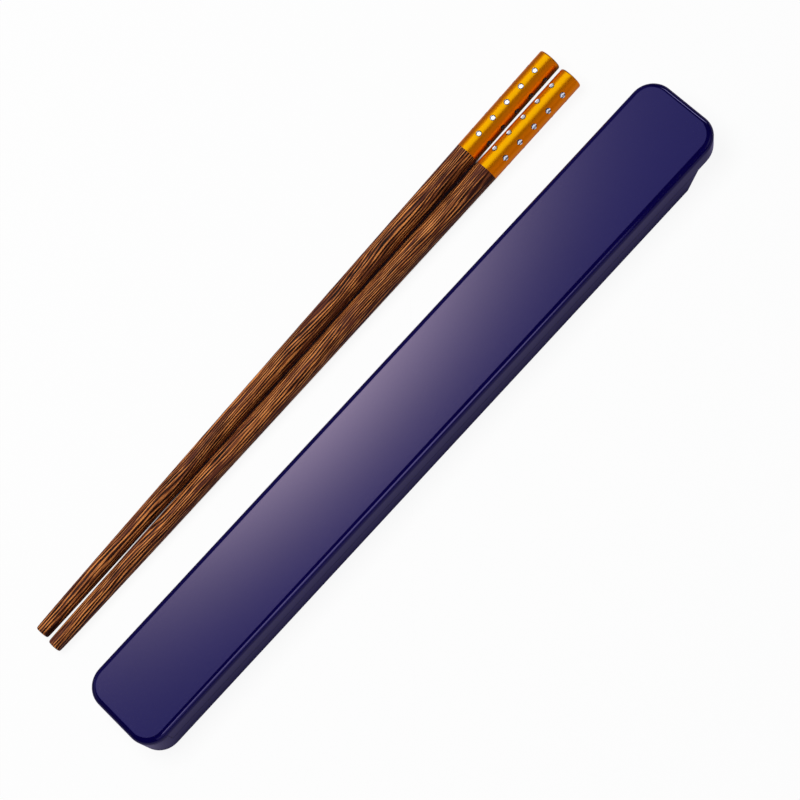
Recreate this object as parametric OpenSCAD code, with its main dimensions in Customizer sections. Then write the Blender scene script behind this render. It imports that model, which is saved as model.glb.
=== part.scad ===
// Portable chopstick case with a slide-off lid, and the pair of capped chopsticks that it carries.
// All lengths are in millimetres. X runs along the case towards its finger grip, Z is up, and the
// origin is the centre of the face that the case rests on.

/* [Chopsticks] */
// Length of a chopstick
stick_l = 230; // [200:1:250]
// Length of the metal cap
cap_l = 38; // [26:1:50]
// Diameter of the metal cap, and of the wood where it meets the cap
cap_d = 7.5; // [6.8:0.1:8]
// Diameter of the eating tip
tip_d = 4.4; // [3:0.1:5.5]
// Power of the wood's taper: 1 is a straight cone, and less is fuller
taper_power = 0.58; // [0.4:0.01:1]
// Rounding of the tip's edge
tip_edge_r = 0.5; // [0.2:0.05:1]
// Rounding of the cap's end
cap_edge_r = 0.6; // [0.2:0.05:1.2]
// Diameter of the wooden tenon inside the cap
tenon_d = 5.4; // [3:0.1:5.6]
// Thickness of the cap's closed end
cap_end_t = 2; // [1:0.1:4]

/* [Stones] */
// Rows of stones round a cap
stone_rows = 5; // [3:1:6]
// Stones in each row along the cap
stones_per_row = 5; // [3:1:6]
// Diameter of a stone at its girdle
stone_d = 1.8; // [1.3:0.1:2]
// Diameter of the flat table on top of a stone
stone_table_d = 1.1; // [0.6:0.1:1.2]
// Diameter of the flat at the bottom of a stone
stone_culet_d = 0.5; // [0.2:0.1:1]
// Sides of a stone
stone_sides = 8; // [6:1:12]
// Depth of a stone's seat below the cap's surface
seat_depth = 0.7; // [0.5:0.05:0.75]
// Depth of a stone's girdle below the cap's surface
girdle_depth = 0.12; // [0.05:0.01:0.3]
// Height of a stone's table above the cap's surface
stone_stand = 0.1; // [0.05:0.01:0.1]

/* [Case] */
// Width of the hollow that the chopsticks lie in
cavity_w = 22.6; // [18:0.1:30]
// Height of the closed case
case_h = 12.7; // [12.5:0.1:18]
// Radius of the upright corners
corner_r = 7.5; // [6.5:0.1:9]
// Room from the chopstick tips to the lid's far end, taken up by the finger grip
end_reach = 14.5; // [13.5:0.1:25]

/* [Lid] */
// Thickness of the lid's top plate
lid_plate_t = 2; // [1.2:0.1:2.2]
// Thickness of the lid's side skirts
lid_skirt_t = 1.3; // [0.8:0.1:2]
// Thickness of the lid's end wall at its lower edge
lid_end_t = 1.4; // [0.8:0.1:2]
// Rounding of the lid's top edge
lid_edge_r = 1.9; // [0.5:0.1:2.2]
// Height of the lid's lower edge above the table
lid_lower_z = 6.2; // [5.5:0.1:6.6]
// How far the lid's end wall leans inwards at its lower edge
lid_end_lean = 1.1; // [0.3:0.1:2]
// Height of the lips that run under the tray's rails
lip_h = 1.3; // [0.8:0.1:2]
// Reach of the lips under the rails
lip_d = 0.9; // [0.5:0.1:1.5]

/* [Tray] */
// Thickness of the tray's floor
tray_floor_t = 1.4; // [1:0.1:2]
// Thickness of the tray's upright end wall
tray_end_t = 1.2; // [0.8:0.1:2]
// Thickness of the tray's wall beside the lips
neck_wall_t = 1.2; // [0.8:0.1:2]
// Length of the full-width block at the upright end, which the lid closes against
end_block_l = 8; // [7.7:0.1:14]
// Rounding of the tray's bottom edge
base_edge_r = 1.2; // [0.4:0.1:2]
// Distance from the lid's far end to the top of the sloped finger grip
grip_top_reach = 9.4; // [9:0.1:14]
// Distance from the lid's far end to the foot of the sloped finger grip
grip_foot_reach = 16.3; // [15:0.1:24]
// Thickness of the sloped wall
grip_wall_t = 1.4; // [1:0.1:2]
// Rounding of the sloped wall's corners
grip_corner_r = 2.5; // [1:0.1:5]
// Thickness of the ledge above the finger grip
ledge_t = 1.4; // [1:0.1:1.8]
// Radius of the hollow's upright corners
cavity_corner_r = 5; // [2:0.1:6]
// Rounding between the hollow's floor and its walls
cavity_floor_r = 1; // [0.4:0.1:2]

/* [Fits] */
// Gap between the faces that slide on each other
slide_gap = 0.2; // [0.1:0.05:0.3]
// Gap between the lid's skirts and the tray's end block when the case is closed
stop_gap = 0.1; // [0.1:0.05:0.5]
// Gap between the tray's far end and the lid's end wall when the case is closed
end_gap = 0.3; // [0.2:0.05:1]
// Spare length in the hollow for a chopstick
stick_room = 0.3; // [0.2:0.1:5]
// Glue space round the tenon and at its end
glue_gap = 0.05; // [0.02:0.01:0.1]
// Gap between a stone and its seat
seat_gap = 0.04; // [0.02:0.01:0.1]

/* [Chopsticks laid beside the case] */
// Distance from the case's side to the nearer chopstick's axis, at its tip
tip_from_case = 19; // [10:0.1:60]
// Distance from the case's upright end to the nearer chopstick's tip
tip_from_end = 1.5; // [-40:0.1:40]
// How much further along the other chopstick lies
pair_shift = 0.3; // [-5:0.1:5]
// Turn of the nearer chopstick away from the case, in degrees
right_yaw = 0.5; // [0:0.1:5]
// Gap between the two tips
tip_gap = 1.5; // [1:0.1:6]
// Gap between the two caps at their ends
cap_gap = 1.6; // [1.2:0.1:6]
// Turn of the stones on the nearer chopstick, from straight up, in degrees
right_roll = -22; // [-30:1:-14]
// Turn of the stones on the other chopstick, from straight up, in degrees
left_roll = 4; // [-4:1:12]
// Distance from the tip to where the wood touches the table
lie_at = 100; // [60:1:110]

/* [Hidden] */
$fn = 96;

LEFT = "left";
RIGHT = "right";
STICKS = [LEFT, RIGHT];

// How far a cutter runs past the face that it cuts
spill = 1;

// Colours of the moulded plastic, the wood, the metal caps and the stones
plastic_colour = [0.14, 0.13, 0.33];
wood_colour = [0.36, 0.19, 0.10];
metal_colour = [0.80, 0.50, 0.05];
stone_colour = [0.90, 0.92, 0.96];

// The case is sized round its chopsticks
case_l = tray_end_t + stick_room + stick_l + end_reach;
case_w = cavity_w + 2 * (neck_wall_t + slide_gap + lip_d + lid_skirt_t);
far_x = case_l / 2;
near_x = -far_x;
half_w = case_w / 2;

// Levels of the slide, from the lid's lower edge up
shoulder_z = lid_lower_z - slide_gap;
lip_top_z = lid_lower_z + lip_h;
rail_z = lip_top_z + slide_gap;
plate_z = case_h - lid_plate_t;
tray_top_z = plate_z - slide_gap;

// Half widths of the slide, from the lid's skirt in
pocket_half_w = half_w - lid_skirt_t;
rail_half_w = pocket_half_w - slide_gap;
lip_half_w = pocket_half_w - lip_d;
neck_half_w = lip_half_w - slide_gap;
cavity_half_w = cavity_w / 2;

// Ends of the slide along the case
skirt_x = near_x + end_block_l;
block_x = skirt_x - stop_gap;
pocket_x = far_x - lid_end_lean - lid_end_t;
tray_x = pocket_x - end_gap;
pocket_r = corner_r - lid_end_t;
tray_r = pocket_r - slide_gap;
ledge_top_z = lid_lower_z + ledge_t;
recess_x = tray_x - neck_wall_t;
recess_r = tray_r - neck_wall_t;
recess_turn_x = recess_x - recess_r;

// The lid's rounded edge stays within its plate
plate_edge_r = min(lid_edge_r, lid_plate_t);

// Lean of the lid's end wall and of the finger grip, from upright
lid_lean_a = atan(lid_end_lean / (case_h - plate_edge_r - lid_lower_z));
lid_lean_x = far_x - lid_end_lean - lid_lower_z * tan(lid_lean_a);
grip_lean_a = atan((grip_foot_reach - grip_top_reach) / lid_lower_z);
grip_foot_x = far_x - grip_foot_reach;
cavity_foot_x = grip_foot_x - grip_wall_t / cos(grip_lean_a);
cavity_grip_r = max(grip_corner_r - grip_wall_t, cavity_floor_r);

// The wood's taper, from the tip's radius to the cap's
wood_l = stick_l - cap_l;
tip_r = tip_d / 2;
cap_r = cap_d / 2;
taper_steps = 24;
tip_edge_steps = 5;
function taper_r(x) = tip_r + (cap_r - tip_r) * pow(x / wood_l, taper_power);
function taper_slope(x) = (cap_r - tip_r) * taper_power * pow(x / wood_l, taper_power - 1) / wood_l;

// The cap, its bore and its stones
bore_r = tenon_d / 2 + glue_gap;
tenon_l = cap_l - cap_end_t - glue_gap;
stone_pitch = cap_l / (stones_per_row + 1);
stone_r = stone_d / 2;
seat_r = stone_r + seat_gap;
girdle_h = 0.08;

// How the chopsticks lie: each on its wood, with the cap a little above the table
lie_tilt = atan(taper_slope(lie_at));
tip_axis_z = taper_r(lie_at) * cos(lie_tilt) - lie_at * sin(lie_tilt);
tip_pitch = tip_d + tip_gap;
cap_pitch = cap_d + cap_gap;
left_yaw = right_yaw + atan((cap_pitch - tip_pitch) / stick_l);
function stick_x(stick) = near_x + tip_from_end + (stick == LEFT ? pair_shift : 0);
function stick_y(stick) = half_w + tip_from_case + (stick == LEFT ? tip_pitch : 0);
function stick_yaw(stick) = stick == LEFT ? left_yaw : right_yaw;
function stick_roll(stick) = stick == LEFT ? left_roll : right_roll;

// The waste outside a quarter round of radius r
module quarter_waste(r) {
    difference() {
        square(r + spill);
        circle(r);
    }
}

// Half section of a slab's rim, with its upper and lower edges rounded
module rim_section(reach, z0, z1, top_r, base_r) {
    difference() {
        translate([0, z0]) square([reach, z1 - z0]);
        if (top_r > 0) {
            translate([reach - top_r, z1 - top_r]) quarter_waste(top_r);
        }
        if (base_r > 0) {
            translate([reach - base_r, z0 + base_r]) mirror([0, 1]) quarter_waste(base_r);
        }
    }
}

// A slab from x0 to x1 with upright corners of radius r and rounded upper and lower edges
module slab(x0, x1, half_y, r, z0, z1, top_r = 0, base_r = 0) {
    mid_l = x1 - x0 - 2 * r;
    mid_w = 2 * (half_y - r);
    translate([(x0 + x1) / 2, 0, 0]) {
        translate([-mid_l / 2, -mid_w / 2, z0]) cube([mid_l, mid_w, z1 - z0]);
        for (side = [0, 1]) {
            mirror([0, side, 0]) translate([-mid_l / 2, mid_w / 2, 0]) rotate([90, 0, 90])
                linear_extrude(mid_l) rim_section(r, z0, z1, top_r, base_r);
            mirror([side, 0, 0]) translate([mid_l / 2, mid_w / 2, 0]) rotate([90, 0, 0])
                linear_extrude(mid_w) rim_section(r, z0, z1, top_r, base_r);
        }
        for (end = [0, 1], side = [0, 1]) {
            mirror([end, 0, 0]) mirror([0, side, 0]) translate([mid_l / 2, mid_w / 2, 0])
                rotate_extrude(angle = 90) rim_section(r, z0, z1, top_r, base_r);
        }
    }
}

// Everything on the near side of an end wall that leans out as it rises from foot_x
module leaning_end(foot_x, lean_a, half_y, r) {
    translate([foot_x, 0, 0]) rotate([0, lean_a, 0]) slab(-case_l, 0, half_y, r, -case_l, case_l);
}

// The moulded tray: hollow body, upright end block, rails for the lid and sloped finger grip
module case_tray() {
    color(plastic_colour) difference() {
        union() {
            intersection() {
                slab(near_x, far_x, half_w, corner_r, 0, shoulder_z, 0, base_edge_r);
                leaning_end(grip_foot_x, grip_lean_a, half_w, grip_corner_r);
            }
            intersection() {
                slab(near_x, far_x, half_w, corner_r, shoulder_z, tray_top_z);
                translate([near_x, -half_w, 0]) cube([block_x - near_x, case_w, case_h]);
            }
            tray_rails();
        }
        tray_hollow();
    }
}

// The neck that the lid's lips pass, the rails above it and the ledge over the finger grip
module tray_rails() {
    intersection() {
        rail_slab(neck_half_w, shoulder_z, rail_z);
        union() {
            translate([near_x, -half_w, lid_lower_z]) cube([case_l, case_w, case_h]);
            leaning_end(grip_foot_x, grip_lean_a, half_w, grip_corner_r);
        }
    }
    rail_slab(rail_half_w, rail_z, tray_top_z);
}

// A slab with the outline of the rails, out to half_y from the middle and back into the end block
module rail_slab(half_y, z0, z1) {
    intersection() {
        slab(near_x - tray_r, tray_x, rail_half_w, tray_r, z0, z1);
        translate([block_x - spill, -half_y, z0]) cube([case_l, 2 * half_y, z1 - z0]);
    }
}

// The hollow for the chopsticks, with the shallow recess above the ledge
module tray_hollow() {
    hollow_x = near_x + tray_end_t;
    intersection() {
        slab(hollow_x, far_x, cavity_half_w, cavity_corner_r, tray_floor_t, case_h, 0, cavity_floor_r);
        leaning_end(cavity_foot_x, grip_lean_a, cavity_half_w, cavity_grip_r);
        translate([near_x, -half_w, 0]) cube([recess_turn_x - near_x, case_w, case_h]);
    }
    slab(grip_foot_x - case_w, recess_x, cavity_half_w, recess_r, ledge_top_z, case_h);
}

// The slide-off lid: rounded top plate, side skirts with lips, and an end wall over the grip
module slide_lid() {
    color(plastic_colour) difference() {
        intersection() {
            slab(near_x, far_x, half_w, corner_r, lid_lower_z, case_h, plate_edge_r);
            leaning_end(lid_lean_x, lid_lean_a, half_w, corner_r);
        }
        translate([near_x - spill, -half_w - spill, 0])
            cube([end_block_l + spill, case_w + 2 * spill, plate_z]);
        lid_pocket(lip_half_w, 0, lip_top_z);
        lid_pocket(pocket_half_w, lip_top_z, plate_z);
    }
}

// The space inside the lid between two levels, out to half_y from the middle
module lid_pocket(half_y, z0, z1) {
    start_x = near_x - 2 * corner_r;
    intersection() {
        slab(start_x, pocket_x, pocket_half_w, pocket_r, z0, z1);
        translate([start_x, -half_y, z0]) cube([pocket_x - start_x, 2 * half_y, z1 - z0]);
    }
}

// Places a chopstick that lies along X with its tip at the origin on the table beside the case
module lay(stick) {
    translate([stick_x(stick), stick_y(stick), tip_axis_z])
        rotate([stick_roll(stick), -lie_tilt, stick_yaw(stick)]) children();
}

// Turns a section of radius and length about the X axis
module turned() {
    rotate([0, 90, 0]) rotate_extrude() children();
}

// Half section of the wood: rounded tip, full taper and the tenon inside the cap
module shaft_section() {
    tip_edge = [
        for (i = [0 : tip_edge_steps])
            let (a = 90 * i / tip_edge_steps)
            [tip_r - tip_edge_r * (1 - sin(a)), tip_edge_r * (1 - cos(a))]
    ];
    taper = [
        for (i = [1 : taper_steps])
            let (x = tip_edge_r + (wood_l - tip_edge_r) * pow(i / taper_steps, 2))
            [taper_r(x), x]
    ];
    tenon = [[tenon_d / 2, wood_l], [tenon_d / 2, wood_l + tenon_l], [0, wood_l + tenon_l]];
    polygon(concat([[0, 0]], tip_edge, taper, tenon));
}

// The wooden shaft
module chopstick_shaft(stick) {
    color(wood_colour) lay(stick) turned() shaft_section();
}

// The metal cap: closed at its end, bored for the tenon and drilled for the stones
module chopstick_cap(stick) {
    color(metal_colour) lay(stick) difference() {
        turned() difference() {
            translate([0, wood_l]) square([cap_r, cap_l]);
            translate([0, wood_l - spill]) square([bore_r, cap_l - cap_end_t + spill]);
            translate([cap_r - cap_edge_r, stick_l - cap_edge_r]) quarter_waste(cap_edge_r);
        }
        for (row = [1 : stone_rows], place = [1 : stones_per_row]) {
            on_cap(row, place) translate([0, 0, -seat_depth]) cylinder(r = seat_r, h = seat_depth + spill);
        }
    }
}

// Places a stone's own axis on the cap's surface, at its row and its place along the row
module on_cap(row, place) {
    rotate([360 * (row - 1) / stone_rows, 0, 0])
        translate([wood_l + place * stone_pitch, 0, cap_r]) children();
}

// One cut stone: table, crown, girdle and pavilion
module stone() {
    rotate_extrude($fn = stone_sides) polygon([
        [0, seat_gap - seat_depth],
        [stone_culet_d / 2, seat_gap - seat_depth],
        [stone_r, -girdle_depth - girdle_h],
        [stone_r, -girdle_depth],
        [stone_table_d / 2, stone_stand],
        [0, stone_stand]
    ]);
}

// One row of stones along a cap
module cap_stones(stick, row) {
    color(stone_colour) lay(stick) {
        for (place = [1 : stones_per_row]) {
            on_cap(row, place) stone();
        }
    }
}

case_tray();
slide_lid();
for (stick = STICKS) {
    chopstick_shaft(stick);
    chopstick_cap(stick);
    for (row = [1 : stone_rows]) {
        cap_stones(stick, row);
    }
}
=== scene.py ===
"""Looks of a portable chopstick case and of the capped chopsticks that it carries.

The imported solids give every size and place. This script gives them their finishes, sets cut stones in
the seats of the caps, and lights the set on a white table as a product picture is lit. Lengths are in
metres, in the frame of the solids: X along the case towards its finger grip, Z up. Angles are in degrees.
"""

import logging
import math
from dataclasses import dataclass, field
from enum import Enum
from typing import Optional, Union

import bmesh
import bpy
import numpy as np
from mathutils import Color, Matrix, Vector


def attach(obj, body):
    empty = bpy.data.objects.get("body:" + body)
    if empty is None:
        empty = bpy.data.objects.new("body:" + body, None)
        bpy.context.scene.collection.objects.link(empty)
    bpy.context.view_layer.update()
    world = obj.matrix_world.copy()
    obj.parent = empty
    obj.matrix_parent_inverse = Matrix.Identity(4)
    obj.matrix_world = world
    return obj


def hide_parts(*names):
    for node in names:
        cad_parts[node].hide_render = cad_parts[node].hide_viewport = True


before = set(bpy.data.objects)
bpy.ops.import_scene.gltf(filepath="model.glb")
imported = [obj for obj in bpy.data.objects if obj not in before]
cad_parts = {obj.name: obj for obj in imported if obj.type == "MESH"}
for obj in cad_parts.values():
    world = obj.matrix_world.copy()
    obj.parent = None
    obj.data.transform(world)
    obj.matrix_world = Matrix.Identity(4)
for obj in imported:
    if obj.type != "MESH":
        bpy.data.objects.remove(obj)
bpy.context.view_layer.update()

MM = 0.001
Rgb = tuple[float, float, float]
Place = tuple[float, float, float]
Pair = tuple[float, float]
Socket = bpy.types.NodeSocket
Input = Union[float, Rgb, Socket]
WHITE: Rgb = (1.0, 1.0, 1.0)
MIDDLE = 0.5
SCREEN_FULL = 255
log = logging.getLogger("chopstick_case")


class Side(Enum):
    """Which of the two chopsticks, as the solids name them."""

    LEFT = "left"
    RIGHT = "right"


class Seen(Enum):
    """Whether a lamp shows in gloss and glass, besides the light that it casts on matt surfaces."""

    IN_GLOSS = True
    NOT_IN_GLOSS = False


class Lit(Enum):
    """Which pieces a lamp is set up for."""

    EVERYTHING = "everything"
    CASE = "case"
    WOOD = "wood"
    CAPS = "caps"
    STONES = "stones"


def mm(*lengths: float) -> tuple[float, ...]:
    """Turns lengths in millimetres into metres."""
    return tuple(length * MM for length in lengths)


def tone(*levels: float) -> Rgb:
    """Turns a screen colour, three levels from 0 to 255, into the linear colour that a shader takes."""
    return tuple(Color([level / SCREEN_FULL for level in levels]).from_srgb_to_scene_linear())


class Bench:
    """Adds nodes to one node tree and joins them."""

    def __init__(self, tree: bpy.types.NodeTree) -> None:
        """Starts on the tree of a material, a world, a lamp or a group."""
        self.tree = tree

    def put(self, socket: Socket, value: Input) -> None:
        """Joins an output to an input, or sets the input's own value.

        Args:
            socket: The input.
            value: An output socket, a number, or a colour or vector of three numbers.
        """
        if isinstance(value, Socket):
            self.tree.links.new(value, socket)
        elif isinstance(value, (int, float)):
            socket.default_value = value
        elif socket.type == "RGBA":
            socket.default_value = (*value, 1.0)
        else:
            socket.default_value = value

    def node(self, kind: str, inputs: Optional[dict] = None, **settings: object) -> bpy.types.Node:
        """Adds one node.

        Args:
            kind: The node's type, without its ShaderNode prefix.
            inputs: What goes into its inputs, by name or place.
            **settings: The node's own properties.

        Returns:
            The node.
        """
        made = self.tree.nodes.new("ShaderNode" + kind)
        for name, value in settings.items():
            setattr(made, name, value)
        for key, value in (inputs or {}).items():
            self.put(made.inputs[key], value)
        return made

    def math(self, operation: str, first: Input, second: Input = 0.0) -> Socket:
        """Adds a Math node and gives its value."""
        return self.node("Math", {0: first, 1: second}, operation=operation).outputs[0]

    def centred(self, value: Input, weight: Input) -> Socket:
        """Turns a value from 0 to 1 into a swing round 0, as wide as its weight."""
        return self.math("MULTIPLY", self.math("SUBTRACT", value, MIDDLE), weight)

    def mapped(self, value: Input, low: Pair, high: Pair) -> Socket:
        """Maps a value from one range to another, clamped.

        Args:
            value: The value.
            low: Lower end of the range that comes in, and what it turns into.
            high: Upper end of the range that comes in, and what it turns into.

        Returns:
            The mapped value.
        """
        inputs = {"From Min": low[0], "From Max": high[0], "To Min": low[1], "To Max": high[1]}
        return self.node("MapRange", {"Value": value, **inputs}).outputs["Result"]

    def blend(self, share: Input, low: Input, high: Input) -> Socket:
        """Blends two colours.

        Args:
            share: Share of the second colour.
            low: First colour.
            high: Second colour.

        Returns:
            The blended colour.
        """
        mix = self.node("Mix", data_type="RGBA")
        for name, value in (("Factor_Float", share), ("A_Color", low), ("B_Color", high)):
            self.put(next(s for s in mix.inputs if s.identifier == name), value)
        return next(s for s in mix.outputs if s.identifier == "Result_Color")

    def ramp(self, value: Input, stops: dict[float, Rgb]) -> Socket:
        """Turns a value from 0 to 1 into a colour.

        Args:
            value: The value.
            stops: Colour at each of several values, in rising order.

        Returns:
            The colour.
        """
        made = self.node("ValToRGB", {0: value})
        marks = made.color_ramp.elements
        while len(marks) < len(stops):
            marks.new(1.0)
        for mark, (spot, colour) in zip(marks, stops.items()):
            mark.position = spot
            mark.color = (*colour, 1.0)
        return made.outputs["Color"]

    def bump(self, height: Input, depth: float) -> Socket:
        """Turns a height from 0 to 1, where 1 is as high as the depth in metres, into a normal."""
        return self.node("Bump", {"Height": height, "Distance": depth}).outputs["Normal"]


class EffectBench(Bench):
    """A new shader node group that turns a place in metres, and a few values, into a value from 0 to 1."""

    noise_low: float = 0.3
    noise_high: float = 0.7

    def __init__(self, name: str, output: str, *values: str) -> None:
        """Makes the group with its sockets.

        Args:
            name: The group's name.
            output: Name of what it puts out.
            *values: Names of what it takes besides the place.
        """
        super().__init__(bpy.data.node_groups.new(name, "ShaderNodeTree"))
        sockets = self.tree.interface
        sockets.new_socket("Place", in_out="INPUT", socket_type="NodeSocketVector")
        for value in values:
            sockets.new_socket(value, in_out="INPUT", socket_type="NodeSocketFloat")
        sockets.new_socket(output, in_out="OUTPUT", socket_type="NodeSocketFloat")
        self.given = self.tree.nodes.new("NodeGroupInput").outputs

    def noise(self, place: Input, detail: float, scale: Input = 1.0) -> Socket:
        """Adds a noise and gives its value, which stays near the middle."""
        return self.node("TexNoise", {"Vector": place, "Scale": scale, "Detail": detail}).outputs[0]

    def spread(self, noise: Input) -> Socket:
        """Spreads the middle of a noise over the range from 0 to 1."""
        return self.mapped(noise, (self.noise_low, 0.0), (self.noise_high, 1.0))

    def hand_out(self, value: Input) -> bpy.types.NodeTree:
        """Joins a value to the group's output.

        Args:
            value: What the group puts out.

        Returns:
            The finished group.
        """
        end = self.tree.nodes.new("NodeGroupOutput")
        self.put(end.inputs[0], value)
        return self.tree


@dataclass
class EffectGroups:
    """Shader node groups that more than one material uses, built once."""

    smooth_detail: float = 1.0
    rough_detail: float = 2.0
    ripple_pace: float = 0.8
    bend_squeeze: Place = (0.02, 0.12, 0.12)
    waver_squeeze: Place = (0.1, 1.1, 1.1)

    def __post_init__(self) -> None:
        """Builds the groups."""
        self.layers = self._layers()
        self.streaks = self._streaks()
        self.speckle = self._speckle()

    def _streaks(self) -> bpy.types.NodeTree:
        """Streaks that run along X: pores and fibres in wood, drawing lines in metal.

        Returns:
            The group.
        """
        bench = EffectBench("lengthwise_streaks", "Streak", "Width", "Stretch", "Ripple")
        given = bench.given
        parts = bench.node("SeparateXYZ", {0: given["Place"]}).outputs
        x, y, z = (bench.math("DIVIDE", parts[i], given["Width"]) for i in range(3))
        along = bench.math("DIVIDE", x, given["Stretch"])
        beat = bench.math("MULTIPLY", along, self.ripple_pace)
        ripple = bench.node("TexNoise", {"W": beat, "Scale": 1.0, "Detail": self.rough_detail},
                            noise_dimensions="1D").outputs[0]
        across = bench.math("ADD", y, bench.centred(ripple, given["Ripple"]))
        place = bench.node("CombineXYZ", {0: along, 1: across, 2: z}).outputs[0]
        return bench.hand_out(bench.spread(bench.noise(place, self.smooth_detail)))

    def _layers(self) -> bpy.types.NodeTree:
        """Growth layers where they come out of a rod that was turned round X: wavy lines, one pitch apart.

        Returns:
            The group.
        """
        bench = EffectBench("growth_layers", "Layer", "Pitch", "Bend", "Waver")
        given = bench.given
        pitch = bench.node("CombineXYZ", {i: given["Pitch"] for i in range(3)}).outputs[0]
        place = bench.node("VectorMath", {0: given["Place"], 1: pitch}, operation="DIVIDE").outputs[0]
        parts = bench.node("SeparateXYZ", {0: place}).outputs
        round_x = bench.node("CombineXYZ", {1: parts[1], 2: parts[2]}).outputs[0]
        radius = bench.node("VectorMath", {0: round_x}, operation="LENGTH").outputs["Value"]
        count = bench.math("MULTIPLY", radius, bench.math("ARCTAN2", parts[1], parts[2]))
        for squeeze, amount in ((self.bend_squeeze, "Bend"), (self.waver_squeeze, "Waver")):
            spot = bench.node("VectorMath", {0: place, 1: squeeze}, operation="MULTIPLY").outputs[0]
            swing = bench.centred(bench.noise(spot, self.smooth_detail), given[amount])
            count = bench.math("ADD", count, swing)
        wave = bench.math("SINE", bench.math("MULTIPLY", count, 2 * math.pi))
        return bench.hand_out(bench.mapped(wave, (-1.0, 0.0), (1.0, 1.0)))

    def _speckle(self) -> bpy.types.NodeTree:
        """Fine uneven specks: moulding texture, satin blasting, tarnish.

        Returns:
            The group.
        """
        bench = EffectBench("fine_speckle", "Speck", "Grain")
        scale = bench.math("DIVIDE", 1.0, bench.given["Grain"])
        noise = bench.noise(bench.given["Place"], self.rough_detail, scale)
        return bench.hand_out(bench.spread(noise))


@dataclass(frozen=True)
class Streak:
    """Measures of lengthwise streaks: how wide, how many times as long, how many widths they ripple."""

    width: float
    stretch: float
    ripple: float = 0.0


class FinishBench(Bench):
    """A new material with a Principled shader, and the shared effects to place in it."""

    def __init__(self, groups: EffectGroups, name: str, axis: Optional[Matrix] = None,
                 **plain: Input) -> None:
        """Makes the material.

        Args:
            groups: The shared effects.
            name: The material's name.
            axis: A piece's own frame, where the effects are to follow it.
            **plain: Plain values of the shader's inputs, with _ for a space.
        """
        self.groups = groups
        self.material = bpy.data.materials.new(name)
        self.material.use_nodes = True
        super().__init__(self.material.node_tree)
        self.shader = self.material.node_tree.nodes["Principled BSDF"]
        for key, value in plain.items():
            self.feed(key.replace("_", " "), value)
        self.place = self.node("TexCoord").outputs["Object"]
        if axis is not None:
            own_frame = {"Location": tuple(axis.translation), "Rotation": tuple(axis.to_euler())}
            inputs = {"Vector": self.place, **own_frame}
            self.place = self.node("Mapping", inputs, vector_type="TEXTURE").outputs[0]

    def feed(self, name: str, value: Input) -> None:
        """Puts a value or a node's output into an input of the shader."""
        self.put(self.shader.inputs[name], value)

    def effect(self, group: bpy.types.NodeTree, **values: float) -> Socket:
        """Places a shared group with its own values and gives what it puts out."""
        return self.node("Group", {"Place": self.place, **values}, node_tree=group).outputs[0]

    def speckle(self, grain: float) -> Socket:
        """Places specks of a given size."""
        return self.effect(self.groups.speckle, Grain=grain)

    def streaks(self, streak: Streak) -> Socket:
        """Places streaks of given measures."""
        return self.effect(self.groups.streaks, Width=streak.width, Stretch=streak.stretch,
                           Ripple=streak.ripple)


@dataclass(frozen=True)
class MouldedPlastic:
    """Glossy navy plastic, as it comes out of a polished mould."""

    colour: Rgb = tone(6, 2, 47)
    flow_colour: Rgb = tone(4, 1, 43)
    ior: float = 1.5
    roughness: float = 0.07
    scuff_roughness: float = 0.085
    flow_size: float = 40 * MM
    scuff_size: float = 1.2 * MM
    peel_size: float = 0.9 * MM
    peel_depth: float = 0.0006 * MM

    def material(self, groups: EffectGroups) -> bpy.types.Material:
        """Builds the finish.

        Args:
            groups: The shared effects.

        Returns:
            The material.
        """
        bench = FinishBench(groups, "navy_moulded_plastic", IOR=self.ior)
        flow = bench.speckle(self.flow_size)
        scuff = bench.speckle(self.scuff_size)
        peel = bench.speckle(self.peel_size)
        bench.feed("Base Color", bench.blend(flow, self.colour, self.flow_colour))
        bench.feed("Roughness", bench.mapped(scuff, (0.0, self.roughness), (1.0, self.scuff_roughness)))
        bench.feed("Normal", bench.bump(peel, self.peel_depth))
        return bench.material


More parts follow.
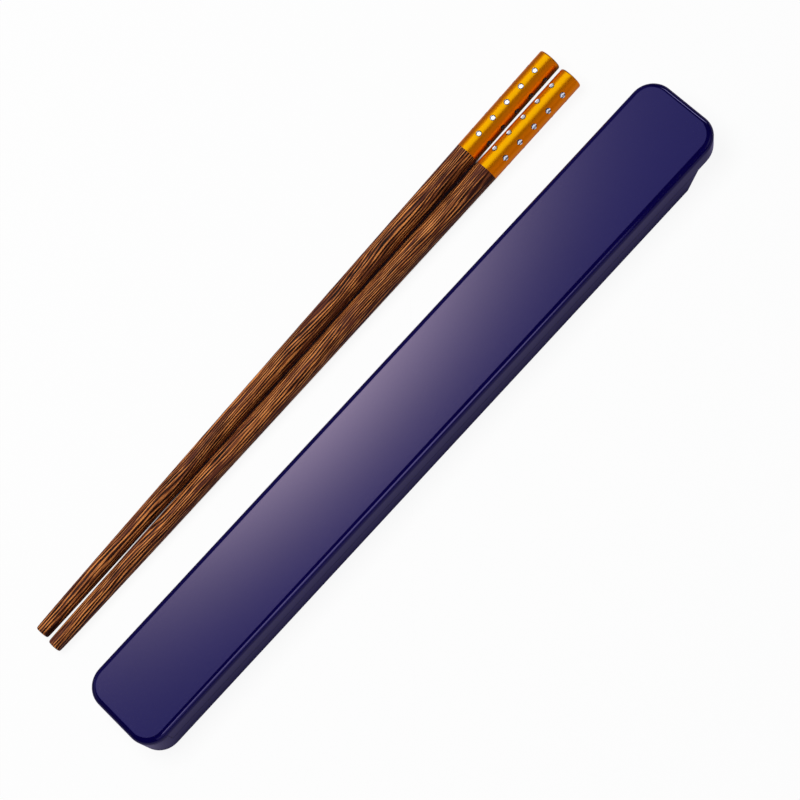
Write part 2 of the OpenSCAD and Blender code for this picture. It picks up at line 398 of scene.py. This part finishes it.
@dataclass(frozen=True)
class StripedWood:
    """Dark oiled wood with fine light lines along the stick, and patches where it is calmer."""

    # Colours of the grain, from a pore to a light line, and the values that they stand at
    pore: Rgb = tone(24, 9, 5)
    dark: Rgb = tone(63, 28, 14)
    brown: Rgb = tone(105, 53, 27)
    tan: Rgb = tone(150, 84, 42)
    light: Rgb = tone(226, 144, 75)
    stops: tuple[float, ...] = (0.28, 0.43, 0.57, 0.69, 0.83)
    # Growth layers, which count for less where a patch is far from its middle
    layer_pitch: float = 0.82 * MM
    layer_bend: float = 6.0
    layer_waver: float = 0.75
    layer_weight: float = 0.6
    calm_weight: float = 0.2
    calm_from: float = 0.2
    # Bands and fine lines along the grain
    bands: Streak = Streak(0.8 * MM, 60.0, 1.0)
    band_weight: float = 0.18
    lines: Streak = Streak(0.17 * MM, 45.0, 2.0)
    line_weight: float = 0.34
    # Patches, tan at the low end of their values and violet at the high end
    patches: Streak = Streak(1.2 * MM, 16.0, 0.8)
    tan_lift: float = 0.12
    tan_until: float = 0.4
    violet: Rgb = tone(91, 45, 37)
    violet_from: float = 0.6
    violet_full: float = 0.95
    violet_share: float = 0.55
    # Surface, duller in the pores
    gloss: float = 0.3
    roughness: float = 0.46
    pore_roughness: float = 0.62
    pore_depth: float = 0.03 * MM

    def material(self, groups: EffectGroups, axis: Matrix, name: str) -> bpy.types.Material:
        """Builds the finish for one stick.

        Args:
            groups: The shared effects.
            axis: The stick's own frame, X along it.
            name: The material's name.

        Returns:
            The material.
        """
        bench = FinishBench(groups, name, axis, Specular_IOR_Level=self.gloss)
        layer = bench.effect(groups.layers, Pitch=self.layer_pitch, Bend=self.layer_bend,
                             Waver=self.layer_waver)
        band, line, patch = (bench.streaks(streak) for streak in (self.bands, self.lines, self.patches))
        extreme = bench.math("ABSOLUTE", bench.math("SUBTRACT", patch, MIDDLE))
        layer_weight = bench.mapped(extreme, (self.calm_from, self.layer_weight), (MIDDLE, self.calm_weight))
        mixed = bench.mapped(patch, (0.0, MIDDLE + self.tan_lift), (self.tan_until, MIDDLE))
        for part, weight in ((layer, layer_weight), (band, self.band_weight), (line, self.line_weight)):
            mixed = bench.math("ADD", mixed, bench.centred(part, weight))
        colours = (self.pore, self.dark, self.brown, self.tan, self.light)
        grain = bench.ramp(mixed, dict(zip(self.stops, colours)))
        shade = bench.mapped(patch, (self.violet_from, 0.0), (self.violet_full, self.violet_share))
        bench.feed("Base Color", bench.blend(shade, grain, self.violet))
        bench.feed("Roughness", bench.mapped(line, (0.0, self.pore_roughness), (MIDDLE, self.roughness)))
        bench.feed("Normal", bench.bump(line, self.pore_depth))
        return bench.material


@dataclass(frozen=True)
class AnodisedGold:
    """Satin aluminium, dyed gold."""

    colour: Rgb = (0.95, 0.37, 0.002)
    shade: Rgb = (0.92, 0.35, 0.002)
    satin_size: float = 0.08 * MM
    satin_low: float = 0.34
    satin_high: float = 0.4
    lines: Streak = Streak(0.12 * MM, 200.0)
    line_depth: float = 0.0004 * MM

    def material(self, groups: EffectGroups, axis: Matrix, name: str) -> bpy.types.Material:
        """Builds the finish for one cap.

        Args:
            groups: The shared effects.
            axis: The stick's own frame, X along it.
            name: The material's name.

        Returns:
            The material.
        """
        bench = FinishBench(groups, name, axis, Metallic=1.0)
        line = bench.streaks(self.lines)
        satin = bench.speckle(self.satin_size)
        bench.feed("Base Color", bench.blend(line, self.colour, self.shade))
        bench.feed("Roughness", bench.mapped(satin, (0.0, self.satin_low), (1.0, self.satin_high)))
        bench.feed("Normal", bench.bump(line, self.line_depth))
        return bench.material


@dataclass(frozen=True)
class CutGlass:
    """Clear cut glass for the crown of a stone, and the silvered foil behind it."""

    clear: Rgb = (0.98, 0.985, 1.0)
    ior: float = 1.55
    polish_size: float = 0.5 * MM
    polish_roughness: float = 0.02
    foil: Rgb = (0.86, 0.87, 0.9)
    foil_roughness: float = 0.04
    tarnish: Rgb = (0.7, 0.71, 0.75)
    tarnish_size: float = 0.3 * MM
    tarnish_roughness: float = 0.1

    def crown(self, groups: EffectGroups) -> bpy.types.Material:
        """Builds the clear glass.

        Args:
            groups: The shared effects.

        Returns:
            The material.
        """
        bench = FinishBench(groups, "stone_clear_glass", Transmission_Weight=1.0, IOR=self.ior)
        polish = bench.speckle(self.polish_size)
        bench.feed("Base Color", self.clear)
        bench.feed("Roughness", bench.mapped(polish, (0.0, 0.0), (1.0, self.polish_roughness)))
        return bench.material

    def backing(self, groups: EffectGroups) -> bpy.types.Material:
        """Builds the silvered foil.

        Args:
            groups: The shared effects.

        Returns:
            The material.
        """
        bench = FinishBench(groups, "stone_silver_foil", Metallic=1.0)
        speck = bench.speckle(self.tarnish_size)
        bench.feed("Base Color", bench.blend(speck, self.foil, self.tarnish))
        roughness = bench.mapped(speck, (0.0, self.foil_roughness), (1.0, self.tarnish_roughness))
        bench.feed("Roughness", roughness)
        return bench.material


def clothe(piece: bpy.types.Object, *materials: bpy.types.Material) -> None:
    """Gives a piece its materials in place of any that it has.

    Args:
        piece: A solid of the frame, or a new mesh.
        *materials: The materials, in the order of the faces' numbers.
    """
    slots = piece.data.materials
    while len(slots) > len(materials):
        slots.pop()
    for place, material in enumerate(materials):
        if place < len(slots):
            slots[place] = material
        else:
            slots.append(material)


def points_of(node: str) -> np.ndarray:
    """Gives the points of a solid of the frame, one row each."""
    return np.array([tuple(vertex.co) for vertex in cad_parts[node].data.vertices])


class Receivers:
    """Keeps which pieces the lamps of each kind are set up for."""

    def __init__(self) -> None:
        """Starts an empty set for each kind."""
        self.sets = {kind: bpy.data.collections.new(f"lit_as_{kind.value}") for kind in Lit}

    def take(self, kind: Lit, piece: bpy.types.Object) -> None:
        """Adds a piece to the set of one kind."""
        self.sets[kind].objects.link(piece)


@dataclass
class TravelCase:
    """The moulded tray and the lid that slides off it."""

    plastic: MouldedPlastic = field(default_factory=MouldedPlastic)
    nodes: tuple[str, str] = ("case_tray", "slide_lid")

    def dress(self, groups: EffectGroups, receivers: Receivers) -> None:
        """Gives both mouldings their finish.

        Args:
            groups: The shared effects.
            receivers: Which lamps are set up for what.
        """
        material = self.plastic.material(groups)
        for node in self.nodes:
            clothe(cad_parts[node], material)
            receivers.take(Lit.CASE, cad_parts[node])
            log.info("%s: %s", node, material.name)


@dataclass
class StoneSeat:
    """Where one stone sits in a cap, and the room that it has, with its top and bottom from its centre."""

    centre: Vector
    out: Vector
    along: Vector
    girdle_r: float
    top: float
    bottom: float

    def matrix(self) -> Matrix:
        """Gives the stone's own frame.

        Returns:
            The frame as a matrix: Z out of the metal, X along the cap.
        """
        across = self.out.cross(self.along).normalized()
        turn = Matrix((self.along, across, self.out)).transposed()
        return Matrix.Translation(self.centre) @ turn.to_4x4()


@dataclass
class BrilliantCut:
    """A round stone with a table, star, kite and girdle facets, and a shallow foiled back.

    The shares of table, kite and lower ring are of the girdle's radius, those of crown and girdle of the
    stone's height. The kite's rise is a share of the crown's height, the lower rise of the back's depth.
    """

    sides: int = 8
    table_share: float = 0.62
    kite_share: float = 0.82
    kite_rise: float = 0.52
    sink: float = 0.09 * MM
    crown_share: float = 0.15
    girdle_share: float = 0.1
    lower_share: float = 0.5
    lower_rise: float = 0.6
    back_slope: float = 3.0
    crown_number: int = 0
    foil_number: int = 1

    def add(self, mesh: bmesh.types.BMesh, seat: StoneSeat) -> None:
        """Adds one stone to a mesh.

        Args:
            mesh: The mesh that grows.
            seat: Where the stone sits, and the room that it has.
        """
        top = seat.top - self.sink
        tall = top - seat.bottom
        girdle = top - self.crown_share * tall
        crown = top - girdle
        belly = girdle - self.girdle_share * tall
        deep = min(belly - seat.bottom, seat.girdle_r * math.tan(math.radians(self.back_slope)))
        full = 2 * self.sides
        place = seat.matrix()

        def ring(count: int, share: float, level: float, turn: float = 0.0) -> list[bmesh.types.BMVert]:
            """Adds the points of one level of the stone.

            Args:
                count: How many points.
                share: Share of the girdle's radius.
                level: Height over the seat's centre.
                turn: Turn round the stone's axis, in steps from point to point.

            Returns:
                The points.
            """
            radius = share * seat.girdle_r
            made = []
            for step in range(count):
                angle = 2 * math.pi * (step + turn) / count
                spot = Vector((radius * math.cos(angle), radius * math.sin(angle), level))
                made.append(mesh.verts.new(place @ spot))
            return made

        def face(number: int, *corners: bmesh.types.BMVert) -> None:
            """Adds one facet, with the number of its material."""
            mesh.faces.new(corners).material_index = number

        half_step = 0.5
        table = ring(self.sides, self.table_share, top)
        kite = ring(self.sides, self.kite_share, girdle + self.kite_rise * crown, half_step)
        upper = ring(full, 1.0, girdle)
        lower = ring(full, 1.0, belly)
        inner = ring(self.sides, self.lower_share, belly - self.lower_rise * deep, half_step)
        culet = mesh.verts.new(place @ Vector((0, 0, belly - deep)))
        face(self.crown_number, *table)
        for step in range(self.sides):
            after = (step + 1) % self.sides
            before = step - 1
            face(self.crown_number, table[step], kite[step], table[after])
            face(self.crown_number, table[step], kite[before], upper[2 * step], kite[step])
            face(self.crown_number, kite[step], upper[2 * step], upper[2 * step + 1])
            face(self.crown_number, kite[step], upper[2 * step + 1], upper[2 * after])
            face(self.foil_number, inner[step], lower[2 * step + 1], lower[2 * step])
            face(self.foil_number, inner[step], lower[2 * after], lower[2 * step + 1])
            face(self.foil_number, culet, inner[step], lower[2 * step], inner[before])
        for step in range(full):
            after = (step + 1) % full
            face(self.foil_number, upper[step], lower[step], lower[after], upper[after])


@dataclass
class Chopstick:
    """One chopstick: wooden shaft, metal cap and the rows of stones in it."""

    side: Side
    wood: StripedWood = field(default_factory=StripedWood)
    gold: AnodisedGold = field(default_factory=AnodisedGold)
    cut: BrilliantCut = field(default_factory=BrilliantCut)
    # Both shafts are cut from one plank, this far apart
    plank_step: float = 470 * MM
    least_stone_gap: float = 1.0 * MM
    stone_slot: str = "cap_stone"

    @property
    def body(self) -> str:
        """Name of the body that the chopstick is."""
        return f"{self.side.value}_chopstick"

    @property
    def shaft(self) -> str:
        """Name of the shaft's solid."""
        return f"{self.body}_shaft"

    @property
    def cap(self) -> str:
        """Name of the cap's solid."""
        return f"{self.body}_cap"

    @property
    def stone_rows(self) -> list[str]:
        """Names of the solids that hold a row of stones each."""
        return sorted(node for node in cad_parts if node.startswith(f"{self.side.value}_cap_stones_"))

    def axis(self) -> Matrix:
        """Finds the stick's own frame from its shaft: the origin at the tip, X towards the cap.

        Returns:
            The frame as a matrix.
        """
        points = points_of(self.shaft)
        middle = points.mean(axis=0)
        # The direction in which the points spread most is the stick's axis
        along = Vector(np.linalg.svd(points - middle, full_matrices=False)[2][0])
        along *= math.copysign(1.0, along.x)
        reach = (points - middle) @ np.array(along)
        tip = Vector(middle) + along * float(reach.min())
        across = Vector((0, 0, 1)).cross(along).normalized()
        turn = Matrix((along, across, along.cross(across))).transposed()
        return Matrix.Translation(tip) @ turn.to_4x4()

    def seats(self, node: str, axis: Matrix) -> list[StoneSeat]:
        """Finds the seats of a row of stones from its solid.

        Args:
            node: The row's solid.
            axis: The stick's own frame.

        Returns:
            The seats, from the wood outwards.
        """
        points = points_of(node)
        along = np.array(axis.to_3x3().col[0])
        reach = points @ along
        order = np.argsort(reach)
        # The stones of a row lie apart along the stick, so a jump in the reach starts the next one
        cuts = np.nonzero(np.diff(reach[order]) > self.least_stone_gap)[0] + 1
        found = []
        for group in np.split(order, cuts):
            stone = points[group]
            centre = Vector((stone.min(axis=0) + stone.max(axis=0)) / 2)
            foot = axis.translation + Vector(along) * (centre - axis.translation).dot(Vector(along))
            out = (centre - foot).normalized()
            height = (stone - np.array(centre)) @ np.array(out)
            wide = (stone - np.array(centre)) @ along
            found.append(StoneSeat(centre, out, Vector(along), float(np.ptp(wide)) / 2,
                                   float(height.max()), float(height.min())))
        return found

    def set_stones(self, axis: Matrix, receivers: Receivers, *materials: bpy.types.Material) -> None:
        """Sets cut stones in the seats of the cap.

        Args:
            axis: The stick's own frame.
            receivers: Which lamps are set up for what.
            *materials: Materials of the crown and of the foiled back.
        """
        for node in self.stone_rows:
            made = bmesh.new()
            for seat in self.seats(node, axis):
                self.cut.add(made, seat)
            bmesh.ops.recalc_face_normals(made, faces=made.faces)
            mesh = bpy.data.meshes.new(f"{node}_cut")
            made.to_mesh(mesh)
            made.free()
            piece = bpy.data.objects.new(f"{node}_cut", mesh)
            bpy.context.scene.collection.objects.link(piece)
            clothe(piece, *materials)
            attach(piece, self.body)
            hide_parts(node)
            receivers.take(Lit.STONES, piece)
            log.info("%s: %d faces in place of %s", piece.name, len(mesh.polygons), node)

    def dress(self, groups: EffectGroups, glass: CutGlass, receivers: Receivers) -> None:
        """Gives the wood and the metal their finishes and sets the stones.

        Args:
            groups: The shared effects.
            glass: The finish of the stones.
            receivers: Which lamps are set up for what.
        """
        axis = self.axis()
        plank = axis @ Matrix.Translation((self.plank_step * list(Side).index(self.side), 0, 0))
        wood = self.wood.material(groups, plank, f"{self.side.value}_striped_wood")
        gold = self.gold.material(groups, axis, f"{self.side.value}_anodised_gold")
        for node, material, kind in ((self.shaft, wood, Lit.WOOD), (self.cap, gold, Lit.CAPS)):
            clothe(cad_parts[node], material)
            receivers.take(kind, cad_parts[node])
            log.info("%s: %s", node, material.name)
        self.set_stones(axis, receivers, glass.crown(groups), glass.backing(groups))


@dataclass(frozen=True)
class SoftCard:
    """A flat lamp: a softbox, a strip or a card that light is thrown on."""

    name: str
    centre: Place
    target: Place
    size: Pair
    glow: Rgb
    lit: Lit
    seen: Seen = Seen.IN_GLOSS
    fade: Optional[Pair] = None
    roll: float = 0.0

    def build(self, receivers: Receivers) -> None:
        """Makes the lamp. Its width runs along X, then it is rolled round its own axis.

        Args:
            receivers: Which lamps are set up for what.
        """
        lamp = bpy.data.lights.new(self.name, "AREA")
        lamp.shape = "RECTANGLE"
        lamp.size, lamp.size_y = self.size
        # The power grows with the area, so that the glow alone sets how bright the card looks
        strength = max(self.glow)
        lamp.color = tuple(level / strength for level in self.glow)
        lamp.energy = strength * math.pi * self.size[0] * self.size[1]
        if self.fade is not None:
            self._soften(lamp)
        placed = bpy.data.objects.new(self.name, lamp)
        back = (Vector(self.centre) - Vector(self.target)).normalized()
        side = (Vector((1, 0, 0)) - back * back.x).normalized()
        turn = Matrix((side, back.cross(side), back)).transposed()
        roll = Matrix.Rotation(math.radians(self.roll), 4, "Z")
        placed.matrix_world = Matrix.Translation(Vector(self.centre)) @ turn.to_4x4() @ roll
        placed.visible_camera = False
        placed.visible_glossy = self.seen.value
        placed.visible_transmission = self.seen.value
        bpy.context.scene.collection.objects.link(placed)
        if self.lit is not Lit.EVERYTHING:
            placed.light_linking.receiver_collection = receivers.sets[self.lit]
        log.info("lamp %s", self.name)

    def _soften(self, lamp: bpy.types.Light) -> None:
        """Lets the lamp fade smoothly from its middle to its edges, as a bell curve does.

        Args:
            lamp: The lamp.
        """
        lamp.use_nodes = True
        bench = Bench(lamp.node_tree)
        emission = next(node for node in lamp.node_tree.nodes if node.type == "EMISSION")
        spot = bench.node("SeparateXYZ", {0: bench.node("NewGeometry").outputs["Parametric"]})
        total: Input = 0.0
        for place, (size, fade) in enumerate(zip(self.size, self.fade)):
            offset = bench.centred(spot.outputs[place], size / fade)
            total = bench.math("ADD", total, bench.math("MULTIPLY", offset, offset))
        fall = bench.math("EXPONENT", bench.math("MULTIPLY", total, -0.5))
        bench.put(emission.inputs["Strength"], fall)


# What the cards look at, and where those at the two ends of the caps stand
ON_TABLE: Place = mm(0, 0, 0)
ON_LID: Place = mm(0, 0, 12)
ON_CAPS: Place = mm(90, 41, 6)
FAR_END: Place = mm(-620, 40, 420)
NEAR_END: Place = mm(800, 40, 420)

SOFT_CARDS = (
    SoftCard("ceiling_fill", mm(-100, 300, 1030), ON_TABLE, mm(700, 700),
             (6.0, 6.0, 6.0), Lit.EVERYTHING, seen=Seen.NOT_IN_GLOSS),
    SoftCard("case_glow", mm(-5, 382, 794), mm(-12, 36, 12), mm(640, 300),
             (10.0, 7.8, 9.2), Lit.CASE, fade=mm(104, 40)),
    SoftCard("case_lilac", mm(20, 412, 800), mm(20, 412, 0), mm(840, 300), (0.47, 0.44, 1.6), Lit.CASE),
    SoftCard("case_back", mm(0, 1100, 620), mm(0, 15, 12), mm(1500, 900), (0.08, 0.06, 0.46), Lit.CASE),
    SoftCard("case_front", mm(-50, -440, 436), mm(-50, -15, 12), mm(380, 190),
             (1.85, 1.6, 3.4), Lit.CASE, roll=-33),
    SoftCard("case_front_low", mm(-160, -526, 326), mm(-160, -15, 12), mm(640, 760),
             (0.32, 0.28, 0.77), Lit.CASE, fade=mm(3000, 145)),
    SoftCard("case_front_fill", mm(0, -600, 300), mm(0, -15, 6), mm(800, 400),
             (4.0, 4.0, 4.0), Lit.CASE, seen=Seen.NOT_IN_GLOSS),
    SoftCard("case_end", mm(584, 182, 324), mm(123, 0, 12), mm(400, 160),
             (6.0, 5.5, 11.5), Lit.CASE, fade=mm(108, 17), roll=-13),
    SoftCard("case_sheen_far", mm(-640, 640, 500), ON_LID, mm(900, 640),
             (0.32, 0.29, 0.56), Lit.CASE, fade=mm(240, 150)),
    SoftCard("case_sheen_near", mm(640, -640, 500), ON_LID, mm(900, 640),
             (0.32, 0.29, 0.56), Lit.CASE, fade=mm(240, 150)),
    SoftCard("wood_sheen", mm(0, 335, 744), mm(0, 39, 6), mm(1200, 500), (0.85, 0.85, 0.85), Lit.WOOD),
    SoftCard("wood_low", mm(-25, 19, 6.5), mm(-25, 40, 6.5), mm(190, 12),
             (0.4, 0.4, 0.4), Lit.WOOD, seen=Seen.NOT_IN_GLOSS),
    SoftCard("cap_softbox", mm(190, 322, 741), ON_CAPS, mm(900, 885), (1.05, 1.38, 0.8), Lit.CAPS),
    SoftCard("cap_warm", mm(190, -143, 743), ON_CAPS, mm(900, 200), (0.39, 0.15, 0.1), Lit.CAPS),
    SoftCard("cap_front", mm(90, -436, 156), ON_CAPS, mm(900, 854), (0.42, 0.25, 0.19), Lit.CAPS),
    SoftCard("cap_low", mm(90, 20, 6.3), mm(90, 41, 6.3), mm(66, 12), (0.35, 0.2, 0.14), Lit.CAPS),
    SoftCard("cap_back", mm(90, 620, 300), ON_CAPS, mm(900, 560), (0.41, 0.19, 0.13), Lit.CAPS),
    SoftCard("cap_table_front", mm(90, 23, 0.1), mm(90, 23, 100), mm(66, 26), (0.26, 0.13, 0.07), Lit.CAPS),
    SoftCard("cap_table_back", mm(90, 60, 0.1), mm(90, 60, 100), mm(66, 27), (0.34, 0.16, 0.03), Lit.CAPS),
    SoftCard("cap_far_end", FAR_END, ON_CAPS, mm(500, 620), (0.9, 0.85, 0.5), Lit.CAPS),
    SoftCard("cap_near_end", NEAR_END, ON_CAPS, mm(500, 620), (0.9, 0.85, 0.5), Lit.CAPS),
    SoftCard("stone_far_end", FAR_END, ON_CAPS, mm(500, 620), (0.8, 0.8, 0.86), Lit.STONES),
    SoftCard("stone_near_end", NEAR_END, ON_CAPS, mm(500, 620), (0.8, 0.8, 0.86), Lit.STONES),
    SoftCard("stone_low", mm(90, 20, 9.1), mm(90, 41, 7), mm(66, 4.7), (0.85, 0.88, 1.0), Lit.STONES),
    SoftCard("stone_softbox", mm(190, 362, 732), ON_CAPS, mm(900, 760), (1.45, 1.45, 1.5), Lit.STONES),
    SoftCard("stone_front", mm(90, -239, 491), ON_CAPS, mm(700, 300), (0.72, 0.74, 0.86), Lit.STONES),
    SoftCard("stone_back", mm(90, 620, 220), ON_CAPS, mm(700, 440), (0.62, 0.62, 0.67), Lit.STONES),
)


@dataclass(frozen=True)
class WhiteTable:
    """A wide white table that keeps a faint shadow, with painted shade in the gap between the wooden shafts
    and beside the pieces in its mirror image.
    """

    # Its measures, its colours, and how much of its white the camera sees as plain white
    size: float = 8.0
    drop: float = 0.02 * MM
    white: Rgb = (0.97, 0.97, 0.97)
    # Dull colour for bounced light, and painted shade where the camera sees the gap between the shafts
    bounce_and_gap_shade: Rgb = (0.28, 0.28, 0.28)
    in_gloss: Rgb = (0.22, 0.195, 0.34)
    white_to_camera: float = 0.92
    # How far round a place its openness counts, and how open it is where the gap gets painted shade and
    # where it stays clear
    gap_reach: float = 8 * MM
    gap_closed: float = 0.2
    gap_open: float = 0.3
    # How far the painted shade in the gap takes to fade out at the tips and at the caps
    tip_fade: float = 30 * MM
    cap_fade: float = 5 * MM
    # Painted shade in the table's mirror image beside a piece: how open the table is where it starts and
    # ends, and how far it dims
    touch_closed: float = 0.5
    touch_open: float = 0.75
    touch_glow: float = 0.2

    def build(self) -> None:
        """Puts the table under the set."""
        half = self.size / 2
        mesh = bpy.data.meshes.new("white_table")
        corners = [(-half, -half, 0), (half, -half, 0), (half, half, 0), (-half, half, 0)]
        mesh.from_pydata(corners, [], [(0, 1, 2, 3)])
        floor = bpy.data.objects.new("white_table", mesh)
        floor.location.z = -self.drop
        bpy.context.scene.collection.objects.link(floor)
        clothe(floor, self.material())
        log.info("white table")

    def material(self) -> bpy.types.Material:
        """Builds the finish.

        Returns:
            The material.
        """
        material = bpy.data.materials.new("white_table")
        material.use_nodes = True
        material.node_tree.nodes.clear()
        bench = Bench(material.node_tree)
        path = bench.node("LightPath").outputs
        nearby = bench.node("AmbientOcclusion", {"Distance": self.gap_reach}).outputs["AO"]
        # Painted shade: where the camera looks into the gap between the shafts, the table loses its white
        # and shows its dull colour
        viewed = bench.math("MULTIPLY", path["Is Camera Ray"], self._clear(bench, nearby))
        mirrored = bench.math("MAXIMUM", path["Is Glossy Ray"], path["Is Transmission Ray"])
        share = bench.math("MAXIMUM", bench.math("MULTIPLY", viewed, self.white_to_camera), mirrored)
        # Painted shade: the table's glow in gloss and glass dims close to a piece
        touch = bench.mapped(nearby, (self.touch_closed, self.touch_glow), (self.touch_open, 1.0))
        matt = bench.node("BsdfDiffuse", {"Color": bench.blend(viewed, self.bounce_and_gap_shade, self.white)})
        colour = bench.blend(mirrored, WHITE, self.in_gloss)
        strength = bench.math("MAXIMUM", path["Is Camera Ray"], touch)
        glow = bench.node("Emission", {"Color": colour, "Strength": strength})
        mix = bench.node("MixShader", {0: share, 1: matt.outputs[0], 2: glow.outputs[0]})
        bench.node("OutputMaterial", {"Surface": mix.outputs[0]})
        return material

    def _clear(self, bench: Bench, nearby: Input) -> Socket:
        """Finds where the table is clear of the painted shade in the gap between the wooden shafts.

        Args:
            bench: The bench of the table's material.
            nearby: How open the table is round each place, from 0 to 1.

        Returns:
            A value from 0 where the gap gets painted shade to 1 where the table is clear.
        """
        stick = Chopstick(Side.RIGHT)
        tip = float(points_of(stick.shaft)[:, 0].min()) + self.tip_fade
        cap = float(points_of(stick.cap)[:, 0].min())
        along = bench.node("SeparateXYZ", {0: bench.node("TexCoord").outputs["Object"]}).outputs[0]
        clear = bench.mapped(nearby, (self.gap_closed, 0.0), (self.gap_open, 1.0))
        tips = bench.mapped(along, (tip, 1.0), (tip + self.tip_fade, 0.0))
        caps = bench.mapped(along, (cap, 0.0), (cap + self.cap_fade, 1.0))
        return bench.math("MAXIMUM", bench.math("MAXIMUM", clear, tips), caps)


@dataclass(frozen=True)
class ProductView:
    """The camera: tilted off the vertical, turned round the set and rolled. Its lens is in millimetres."""

    look_at: Place = mm(2.114, 4.568, 6.927)
    distance: float = 846.54 * MM
    tilt: float = 21.648
    turn: float = -3.938
    roll: float = 43.533
    lens: float = 129.606

    def build(self) -> None:
        """Places the camera."""
        data = bpy.data.cameras.new("product_view")
        data.lens = self.lens
        camera = bpy.data.objects.new("product_view", data)
        tilt, turn, roll = (math.radians(angle) for angle in (self.tilt, self.turn, self.roll))
        level = Vector((math.cos(turn), math.sin(turn), 0))
        back = Vector((math.sin(turn) * math.sin(tilt), -math.cos(turn) * math.sin(tilt), math.cos(tilt)))
        rise = back.cross(level)
        right = level * math.cos(roll) - rise * math.sin(roll)
        up = level * math.sin(roll) + rise * math.cos(roll)
        pose = Matrix((right, up, back)).transposed().to_4x4()
        camera.matrix_world = Matrix.Translation(Vector(self.look_at) + back * self.distance) @ pose
        bpy.context.scene.collection.objects.link(camera)
        bpy.context.scene.camera = camera
        log.info("camera %s", camera.name)


@dataclass
class Studio:
    """White table, soft lamps and the camera."""

    table: WhiteTable = field(default_factory=WhiteTable)
    view: ProductView = field(default_factory=ProductView)
    cards: tuple[SoftCard, ...] = SOFT_CARDS
    fill: Rgb = (0.13, 0.13, 0.14)
    gloss_fill: Rgb = (0.01, 0.01, 0.014)

    def build(self, receivers: Receivers) -> None:
        """Builds the table, the world, the lamps and the camera.

        Args:
            receivers: Which lamps are set up for what.
        """
        self.table.build()
        self._world()
        for card in self.cards:
            card.build(receivers)
        self.view.build()
        bpy.context.scene.view_settings.view_transform = "Standard"

    def _world(self) -> None:
        """White round the picture, and a dim even fill for everything else."""
        world = bpy.data.worlds.new("studio")
        bpy.context.scene.world = world
        world.use_nodes = True
        world.node_tree.nodes.clear()
        bench = Bench(world.node_tree)
        path = bench.node("LightPath").outputs
        fill = bench.blend(path["Is Glossy Ray"], self.fill, self.gloss_fill)
        seen = bench.blend(path["Is Camera Ray"], fill, WHITE)
        ground = bench.node("Background", {"Color": seen, "Strength": 1.0})
        bench.node("OutputWorld", {"Surface": ground.outputs[0]})


def main() -> None:
    """Dresses the case and the chopsticks, and sets up the studio."""
    logging.basicConfig(level=logging.INFO)
    groups = EffectGroups()
    receivers = Receivers()
    TravelCase().dress(groups, receivers)
    glass = CutGlass()
    for side in Side:
        Chopstick(side).dress(groups, glass, receivers)
    Studio().build(receivers)


if __name__ == "__main__":
    main()
